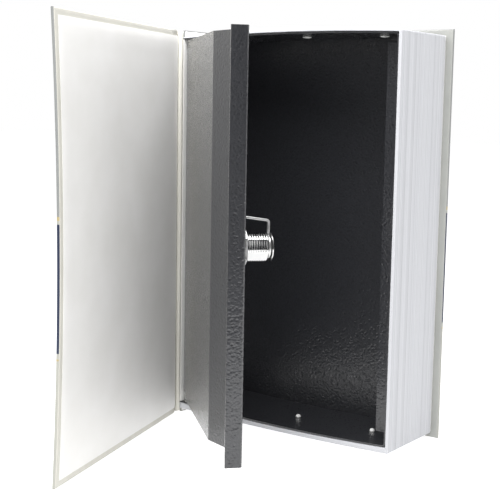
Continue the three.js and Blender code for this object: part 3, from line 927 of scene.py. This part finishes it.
def turned_cap():
    """Round nut on the plug's end, slightly domed, with a cross slotted screw in a recess."""
    lo, hi = local_box("cam_nut", LOCK_FRAME)
    radius = (hi.x - lo.x) / 2
    front, back = lo.y, hi.y
    profile = [(2.1 * MM, front), (radius - 0.12 * MM, front), (radius, front + 0.1 * MM),
               (radius, back - 0.4 * MM), (radius - 0.1 * MM, back - 0.22 * MM),
               (radius - 0.4 * MM, back - 0.07 * MM), (radius - 0.9 * MM, back),
               (3.1 * MM, back), (2.95 * MM, back - 0.08 * MM), (2.95 * MM, back - 0.3 * MM),
               (2.1 * MM, back - 0.3 * MM)]
    mesh = lathe("cam_cap", profile, CAP_STEPS, LOCK_FRAME, close=True)
    piece = add_object("cam_cap", mesh, CHROME, "lock", "lock_chrome", "cam_nut")
    shade(piece, angle=34)
    screw = [(0, back - 0.28 * MM), (2.6 * MM, back - 0.28 * MM), (2.6 * MM, back - 0.14 * MM),
             (2.45 * MM, back - 0.05 * MM), (1.6 * MM, back - 0.01 * MM), (0, back)]
    mesh = lathe("cam_screw", screw, SCREW_STEPS, LOCK_FRAME)
    piece = add_object("cam_screw", mesh, CHROME, "lock", "lock_chrome")
    cutter = bpy.data.meshes.new("slot")
    bm = bmesh.new()
    for slot in (SCREW_SLOT[::-1], SCREW_SLOT):
        made = bmesh.ops.create_cube(bm, size=1)["verts"]
        bmesh.ops.scale(bm, verts=made, vec=Vector(slot) * MM)
        bmesh.ops.translate(bm, verts=made, vec=Vector((0, back, 0)))
    bmesh.ops.transform(bm, matrix=LOCK_FRAME, verts=bm.verts)
    bm.to_mesh(cutter)
    bm.free()
    tool = in_scene("slot", cutter)
    apply_cut(piece, tool)
    shade(piece, angle=34)


def apply_cut(piece, tool):
    """Takes the tool's solid out of the piece for good."""
    modifier = piece.modifiers.new("cut", "BOOLEAN")
    modifier.operation = "DIFFERENCE"
    modifier.solver = "EXACT"
    modifier.use_self = True
    modifier.object = tool
    bpy.context.view_layer.update()
    graph = bpy.context.evaluated_depsgraph_get()
    cut = bpy.data.meshes.new_from_object(piece.evaluated_get(graph))
    piece.modifiers.clear()
    piece.data = cut
    bpy.data.objects.remove(tool)


def lock_parts():
    """Barrel and cap with their fine forms, the other pieces from their solids."""
    threaded_barrel()
    turned_cap()
    dress("lock_washer", "washer", PLATED, "lock_chrome", "door", 0.15 * MM)
    dress("lock_nut", "barrel_nut", PLATED, "lock_chrome", "door", 0.22 * MM, segments=3)
    dress("key_plug", "plug", CHROME, "lock_chrome", "lock", 0.15 * MM)
    dress("lock_cam", "hook_cam", PLATED, "lock_chrome", "lock", 0.3 * MM, segments=3)


# Camera at the photograph's place, found by fitting its edges
CAMERA_AT = Vector((358.8316, -482.0685, 192.5)) * MM
CAMERA_YAW = math.radians(35.76)
CAMERA_PITCH = math.radians(7.27)
CAMERA_ROLL = math.radians(-1.01)
FOCAL_PIXELS = 1100
IMAGE_SIDE = 500
SENSOR = 36
NEAR = 0.01
FAR = 20


def make_camera():
    data = bpy.data.cameras.new("camera")
    data.sensor_width = SENSOR
    data.lens = FOCAL_PIXELS / IMAGE_SIDE * SENSOR
    data.clip_start = NEAR
    data.clip_end = FAR
    camera = in_scene("camera", data)
    forward = Vector((-math.sin(CAMERA_YAW) * math.cos(CAMERA_PITCH),
                      math.cos(CAMERA_YAW) * math.cos(CAMERA_PITCH), -math.sin(CAMERA_PITCH)))
    right = Vector((math.cos(CAMERA_YAW), math.sin(CAMERA_YAW), 0))
    down = forward.cross(right)
    rolled_right = math.cos(CAMERA_ROLL) * right + math.sin(CAMERA_ROLL) * down
    rolled_down = -math.sin(CAMERA_ROLL) * right + math.cos(CAMERA_ROLL) * down
    columns = (rolled_right, -rolled_down, -forward)
    rows = [[column[i] for column in columns] + [CAMERA_AT[i]] for i in range(3)]
    camera.matrix_world = Matrix(rows + [[0, 0, 0, 1]])
    bpy.context.scene.camera = camera
    bpy.context.scene.view_settings.view_transform = "Standard"


def seen(tree):
    """1 for the rays that should see the white background: camera, mirror and glass rays."""
    path = tree.nodes.new("ShaderNodeLightPath")
    both = math_node(tree, "MAXIMUM", path.outputs["Is Camera Ray"], path.outputs["Is Glossy Ray"])
    return math_node(tree, "MAXIMUM", both, path.outputs["Is Transmission Ray"])


WHITE = (1, 1, 1, 1)
WORLD_LIGHT = 0.36
FLOOR_SHOWN = 0.78
FLOOR_LIGHT = 0.55
FLOOR_COLOUR = grey(0.68)
FLOOR_HALF_SIDE = 6
FLOOR_DROP = 0.2 * MM


def make_world():
    """White where the camera and reflections see it, and dimmer as a light."""
    world = bpy.data.worlds.new("studio")
    bpy.context.scene.world = world
    world.use_nodes = True
    tree = world.node_tree
    tree.nodes.clear()
    lit = tree.nodes.new("ShaderNodeBackground")
    lit.inputs["Color"].default_value = WHITE
    lit.inputs["Strength"].default_value = WORLD_LIGHT
    white = tree.nodes.new("ShaderNodeBackground")
    white.inputs["Color"].default_value = WHITE
    white.inputs["Strength"].default_value = 1
    mix = tree.nodes.new("ShaderNodeMixShader")
    out = tree.nodes.new("ShaderNodeOutputWorld")
    tree.links.new(seen(tree), mix.inputs[0])
    tree.links.new(lit.outputs[0], mix.inputs[1])
    tree.links.new(white.outputs[0], mix.inputs[2])
    tree.links.new(mix.outputs[0], out.inputs[0])


def make_floor():
    """Pale floor that glows a little more for the camera than for other rays."""
    material, tree, bsdf = new_material("floor")
    bsdf.inputs["Base Color"].default_value = FLOOR_COLOUR
    bsdf.inputs["Roughness"].default_value = 0.9
    bsdf.inputs["Specular IOR Level"].default_value = 0.0
    bsdf.inputs["Emission Color"].default_value = WHITE
    path = tree.nodes.new("ShaderNodeLightPath")
    less = math_node(tree, "MULTIPLY", path.outputs["Is Camera Ray"], FLOOR_LIGHT - FLOOR_SHOWN)
    glow = math_node(tree, "SUBTRACT", FLOOR_LIGHT, less)
    tree.links.new(glow, bsdf.inputs["Emission Strength"])
    bm = bmesh.new()
    bmesh.ops.create_grid(bm, x_segments=1, y_segments=1, size=FLOOR_HALF_SIDE)
    mesh = from_bmesh(bm, "floor")
    floor = in_scene("floor", mesh)
    floor.location.z = -FLOOR_DROP
    mesh.materials.append(material)


CARD_COLOUR = (0.01, 0.01, 0.012, 1)


def dark_card(name, distance, width, bottom, top):
    """Black card between the safe and the camera, seen only in reflections."""
    away = Vector((math.sin(CAMERA_YAW), -math.cos(CAMERA_YAW), 0))
    across = Vector((math.cos(CAMERA_YAW), math.sin(CAMERA_YAW), 0))
    centre = away * distance
    bm = bmesh.new()
    corners = [centre + across * w + Vector((0, 0, z)) for w, z in
               ((-width / 2, bottom), (width / 2, bottom), (width / 2, top), (-width / 2, top))]
    bm.faces.new([bm.verts.new(corner) for corner in corners])
    material, tree, bsdf = new_material(name)
    bsdf.inputs["Base Color"].default_value = CARD_COLOUR
    bsdf.inputs["Specular IOR Level"].default_value = 0.0
    card_object = in_scene(name, from_bmesh(bm, name))
    card_object.data.materials.append(material)
    card_object.visible_camera = False
    card_object.visible_diffuse = False
    card_object.visible_shadow = False


def area_light(name, at, target, size, power):
    """White rectangular lamp turned to its target."""
    data = bpy.data.lights.new(name, "AREA")
    data.shape = "RECTANGLE"
    data.size, data.size_y = size
    data.energy = power
    light = in_scene(name, data)
    light.location = at
    light.rotation_mode = "QUATERNION"
    light.rotation_quaternion = (Vector(at) - Vector(target)).to_track_quat("Z", "Y")


page_block()
covers()
steel_parts()
lock_parts()
make_camera()
make_world()
make_floor()
dark_card("dark_front", distance=0.34, width=2.4, bottom=0.0, top=1.2)
area_light("top", at=(0.06, -0.22, 1.0), target=(0, 0, 0.1), size=(1.1, 1.1), power=15.5)
area_light("over_the_door", at=(-0.042, 0.0, 0.34), target=(-0.06, 0.03, 0.12),
           size=(0.06, 0.06), power=0.24)
area_light("front_fill", at=(0.2, -0.6, 0.25), target=(-0.03, 0, 0.08),
           size=(0.5, 0.3), power=1.6)
